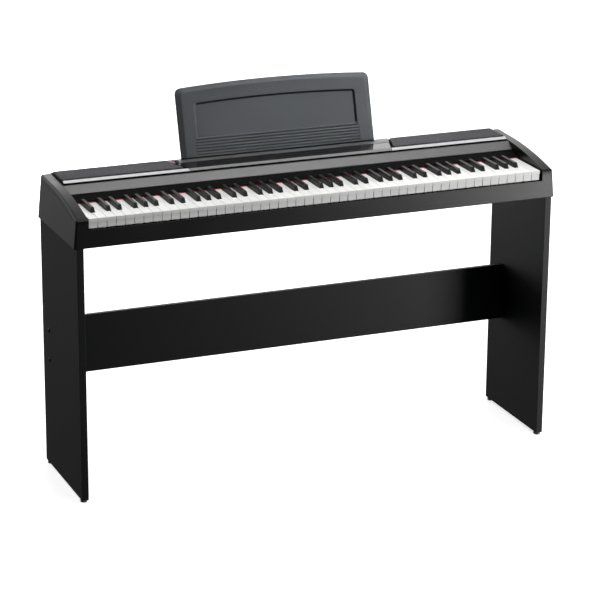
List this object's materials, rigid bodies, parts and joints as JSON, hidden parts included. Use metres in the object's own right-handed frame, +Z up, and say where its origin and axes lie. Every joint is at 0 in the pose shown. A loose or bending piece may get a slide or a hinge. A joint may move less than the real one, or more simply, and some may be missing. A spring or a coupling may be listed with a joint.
{
  "type": "digital piano on stand",
  "caption": "Slab digital piano with weighted keys, curved end cheeks, cloth speaker grilles and a lift-out music rest, on a stand of two leg boards and a crossboard.",
  "frame": {"origin": "on the floor, under the middle of the object's bounding box", "axes": "+X to the player's right, +Y to the rear, +Z up"},
  "size_m": [1.3078, 0.354, 0.9645],
  "materials": {
    "case_black": "satin black moulding with a fine grain",
    "cheek_satin": "satin black moulding, smoother than the case",
    "deck_grey": "satin charcoal with a fine brushed look",
    "grille_cloth": "dark grey speaker cloth over a black rim",
    "trim_silver": "bright brushed strip",
    "panel_gloss": "polished black",
    "red_felt": "red felt",
    "nameboard_black": "flat black",
    "fastener_black": "black oxide",
    "frame_plastic": "dark grey moulding",
    "rod_steel": "ground steel rod",
    "circuit_board": "green circuit board",
    "speaker_black": "black paper cone and pressed frame",
    "stand_laminate": "black laminated board",
    "glide_plastic": "dark grey glide",
    "bracket_steel": "black painted steel angle",
    "rest_slate": "slate grey moulding with a fine grain",
    "button_black": "glossy black",
    "knob_black": "satin black",
    "white_key": "smooth white key plastic",
    "black_key": "satin black key plastic",
    "hammer_steel": "plain steel weight"
  },
  "bodies": {
    "piano": {"lower_case": "case_black", "left_cheek": "cheek_satin", "right_cheek": "cheek_satin", "top_deck": "deck_grey", "left_speaker_grille": "grille_cloth", "right_speaker_grille": "grille_cloth", "left_trim_strip": "trim_silver", "right_trim_strip": "trim_silver", "centre_panel": "panel_gloss", "red_felt_strip": "red_felt", "nameboard": "nameboard_black", "case_screws": "fastener_black", "key_frame": "frame_plastic", "key_pivot_rod": "rod_steel", "hammer_pivot_rod": "rod_steel", "contact_board": "circuit_board", "main_board": "circuit_board", "speaker_drivers": "speaker_black", "jack_panel": "case_black", "left_leg_board": "stand_laminate", "right_leg_board": "stand_laminate", "crossboard": "stand_laminate", "crossboard_cleats": "stand_laminate", "crossboard_bolts": "fastener_black", "leg_glides": "glide_plastic", "stand_brackets": "bracket_steel", "bracket_screws": "fastener_black"},
    "key_c4": {"key_c4": "white_key"},
    "hammer_c4": {"hammer_c4": "hammer_steel"},
    "key_cs4": {"key_cs4": "black_key"},
    "hammer_cs4": {"hammer_cs4": "hammer_steel"},
    "key_d4": {"key_d4": "white_key"},
    "hammer_d4": {"hammer_d4": "hammer_steel"},
    "key_ds4": {"key_ds4": "black_key"},
    "hammer_ds4": {"hammer_ds4": "hammer_steel"},
    "key_e4": {"key_e4": "white_key"},
    "hammer_e4": {"hammer_e4": "hammer_steel"},
    "key_f4": {"key_f4": "white_key"},
    "hammer_f4": {"hammer_f4": "hammer_steel"},
    "key_fs4": {"key_fs4": "black_key"},
    "hammer_fs4": {"hammer_fs4": "hammer_steel"},
    "key_g4": {"key_g4": "white_key"},
    "hammer_g4": {"hammer_g4": "hammer_steel"},
    "key_gs4": {"key_gs4": "black_key"},
    "hammer_gs4": {"hammer_gs4": "hammer_steel"},
    "key_a4": {"key_a4": "white_key"},
    "hammer_a4": {"hammer_a4": "hammer_steel"},
    "key_as4": {"key_as4": "black_key"},
    "hammer_as4": {"hammer_as4": "hammer_steel"},
    "key_b4": {"key_b4": "white_key"},
    "hammer_b4": {"hammer_b4": "hammer_steel"},
    "bass_keys": {"bass_white_keys": "white_key", "bass_black_keys": "black_key"},
    "bass_hammer_set": {"bass_hammers": "hammer_steel"},
    "treble_keys": {"treble_white_keys": "white_key", "treble_black_keys": "black_key"},
    "treble_hammer_set": {"treble_hammers": "hammer_steel"},
    "music_rest": {"music_rest": "rest_slate"},
    "power_button": {"power_button": "button_black"},
    "volume_knob": {"volume_knob": "knob_black"}
  },
  "joints": [
    {"name": "key_c4_press", "type": "hinge", "parent": "piano", "child": "key_c4", "pos_m": [0, 0.07497, 0.726], "axis": [1, 0, 0], "range_deg": [0, 2.34]},
    {"name": "hammer_c4_swing", "type": "hinge", "parent": "piano", "child": "hammer_c4", "pos_m": [0, -0.07703, 0.698], "axis": [1, 0, 0], "range_deg": [0, 11.98]},
    {"name": "key_cs4_press", "type": "hinge", "parent": "piano", "child": "key_cs4", "pos_m": [0, 0.07497, 0.726], "axis": [1, 0, 0], "range_deg": [0, 2.34]},
    {"name": "hammer_cs4_swing", "type": "hinge", "parent": "piano", "child": "hammer_cs4", "pos_m": [0, -0.07703, 0.698], "axis": [1, 0, 0], "range_deg": [0, 11.98]},
    {"name": "key_d4_press", "type": "hinge", "parent": "piano", "child": "key_d4", "pos_m": [0, 0.07497, 0.726], "axis": [1, 0, 0], "range_deg": [0, 2.34]},
    {"name": "hammer_d4_swing", "type": "hinge", "parent": "piano", "child": "hammer_d4", "pos_m": [0, -0.07703, 0.698], "axis": [1, 0, 0], "range_deg": [0, 11.98]},
    {"name": "key_ds4_press", "type": "hinge", "parent": "piano", "child": "key_ds4", "pos_m": [0, 0.07497, 0.726], "axis": [1, 0, 0], "range_deg": [0, 2.34]},
    {"name": "hammer_ds4_swing", "type": "hinge", "parent": "piano", "child": "hammer_ds4", "pos_m": [0, -0.07703, 0.698], "axis": [1, 0, 0], "range_deg": [0, 11.98]},
    {"name": "key_e4_press", "type": "hinge", "parent": "piano", "child": "key_e4", "pos_m": [0, 0.07497, 0.726], "axis": [1, 0, 0], "range_deg": [0, 2.34]},
    {"name": "hammer_e4_swing", "type": "hinge", "parent": "piano", "child": "hammer_e4", "pos_m": [0, -0.07703, 0.698], "axis": [1, 0, 0], "range_deg": [0, 11.98]},
    {"name": "key_f4_press", "type": "hinge", "parent": "piano", "child": "key_f4", "pos_m": [0, 0.07497, 0.726], "axis": [1, 0, 0], "range_deg": [0, 2.34]},
    {"name": "hammer_f4_swing", "type": "hinge", "parent": "piano", "child": "hammer_f4", "pos_m": [0, -0.07703, 0.698], "axis": [1, 0, 0], "range_deg": [0, 11.98]},
    {"name": "key_fs4_press", "type": "hinge", "parent": "piano", "child": "key_fs4", "pos_m": [0, 0.07497, 0.726], "axis": [1, 0, 0], "range_deg": [0, 2.34]},
    {"name": "hammer_fs4_swing", "type": "hinge", "parent": "piano", "child": "hammer_fs4", "pos_m": [0, -0.07703, 0.698], "axis": [1, 0, 0], "range_deg": [0, 11.98]},
    {"name": "key_g4_press", "type": "hinge", "parent": "piano", "child": "key_g4", "pos_m": [0, 0.07497, 0.726], "axis": [1, 0, 0], "range_deg": [0, 2.34]},
    {"name": "hammer_g4_swing", "type": "hinge", "parent": "piano", "child": "hammer_g4", "pos_m": [0, -0.07703, 0.698], "axis": [1, 0, 0], "range_deg": [0, 11.98]},
    {"name": "key_gs4_press", "type": "hinge", "parent": "piano", "child": "key_gs4", "pos_m": [0, 0.07497, 0.726], "axis": [1, 0, 0], "range_deg": [0, 2.34]},
    {"name": "hammer_gs4_swing", "type": "hinge", "parent": "piano", "child": "hammer_gs4", "pos_m": [0, -0.07703, 0.698], "axis": [1, 0, 0], "range_deg": [0, 11.98]},
    {"name": "key_a4_press", "type": "hinge", "parent": "piano", "child": "key_a4", "pos_m": [0, 0.07497, 0.726], "axis": [1, 0, 0], "range_deg": [0, 2.34]},
    {"name": "hammer_a4_swing", "type": "hinge", "parent": "piano", "child": "hammer_a4", "pos_m": [0, -0.07703, 0.698], "axis": [1, 0, 0], "range_deg": [0, 11.98]},
    {"name": "key_as4_press", "type": "hinge", "parent": "piano", "child": "key_as4", "pos_m": [0, 0.07497, 0.726], "axis": [1, 0, 0], "range_deg": [0, 2.34]},
    {"name": "hammer_as4_swing", "type": "hinge", "parent": "piano", "child": "hammer_as4", "pos_m": [0, -0.07703, 0.698], "axis": [1, 0, 0], "range_deg": [0, 11.98]},
    {"name": "key_b4_press", "type": "hinge", "parent": "piano", "child": "key_b4", "pos_m": [0, 0.07497, 0.726], "axis": [1, 0, 0], "range_deg": [0, 2.34]},
    {"name": "hammer_b4_swing", "type": "hinge", "parent": "piano", "child": "hammer_b4", "pos_m": [0, -0.07703, 0.698], "axis": [1, 0, 0], "range_deg": [0, 11.98]},
    {"name": "bass_keys_press", "type": "hinge", "parent": "piano", "child": "bass_keys", "pos_m": [0, 0.07497, 0.726], "axis": [1, 0, 0], "range_deg": [0, 2.34]},
    {"name": "bass_hammer_set_swing", "type": "hinge", "parent": "piano", "child": "bass_hammer_set", "pos_m": [0, -0.07703, 0.698], "axis": [1, 0, 0], "range_deg": [0, 11.98]},
    {"name": "treble_keys_press", "type": "hinge", "parent": "piano", "child": "treble_keys", "pos_m": [0, 0.07497, 0.726], "axis": [1, 0, 0], "range_deg": [0, 2.34]},
    {"name": "treble_hammer_set_swing", "type": "hinge", "parent": "piano", "child": "treble_hammer_set", "pos_m": [0, -0.07703, 0.698], "axis": [1, 0, 0], "range_deg": [0, 11.98]},
    {"name": "music_rest_lift", "type": "slide", "parent": "piano", "child": "music_rest", "axis": [0, 0.2756, 0.9613], "range_m": [0, 0.03]},
    {"name": "power_button_press", "type": "slide", "parent": "piano", "child": "power_button", "axis": [0, 0, -1], "range_m": [0, 0.002], "stiffness_N_per_m": 400, "springref_m": -0.001},
    {"name": "volume_knob_turn", "type": "hinge", "parent": "piano", "child": "volume_knob", "pos_m": [-0.2895, 0.09897, 0.7808], "axis": [0, 0, 1], "range_deg": [-150, 150]}
  ],
  "couplings": [
    {"joint": "hammer_c4_swing", "follows": "key_c4_press", "ratio": 5.1},
    {"joint": "hammer_cs4_swing", "follows": "key_cs4_press", "ratio": 5.1},
    {"joint": "hammer_d4_swing", "follows": "key_d4_press", "ratio": 5.1},
    {"joint": "hammer_ds4_swing", "follows": "key_ds4_press", "ratio": 5.1},
    {"joint": "hammer_e4_swing", "follows": "key_e4_press", "ratio": 5.1},
    {"joint": "hammer_f4_swing", "follows": "key_f4_press", "ratio": 5.1},
    {"joint": "hammer_fs4_swing", "follows": "key_fs4_press", "ratio": 5.1},
    {"joint": "hammer_g4_swing", "follows": "key_g4_press", "ratio": 5.1},
    {"joint": "hammer_gs4_swing", "follows": "key_gs4_press", "ratio": 5.1},
    {"joint": "hammer_a4_swing", "follows": "key_a4_press", "ratio": 5.1},
    {"joint": "hammer_as4_swing", "follows": "key_as4_press", "ratio": 5.1},
    {"joint": "hammer_b4_swing", "follows": "key_b4_press", "ratio": 5.1},
    {"joint": "bass_hammer_set_swing", "follows": "bass_keys_press", "ratio": 5.1},
    {"joint": "treble_hammer_set_swing", "follows": "treble_keys_press", "ratio": 5.1}
  ]
}
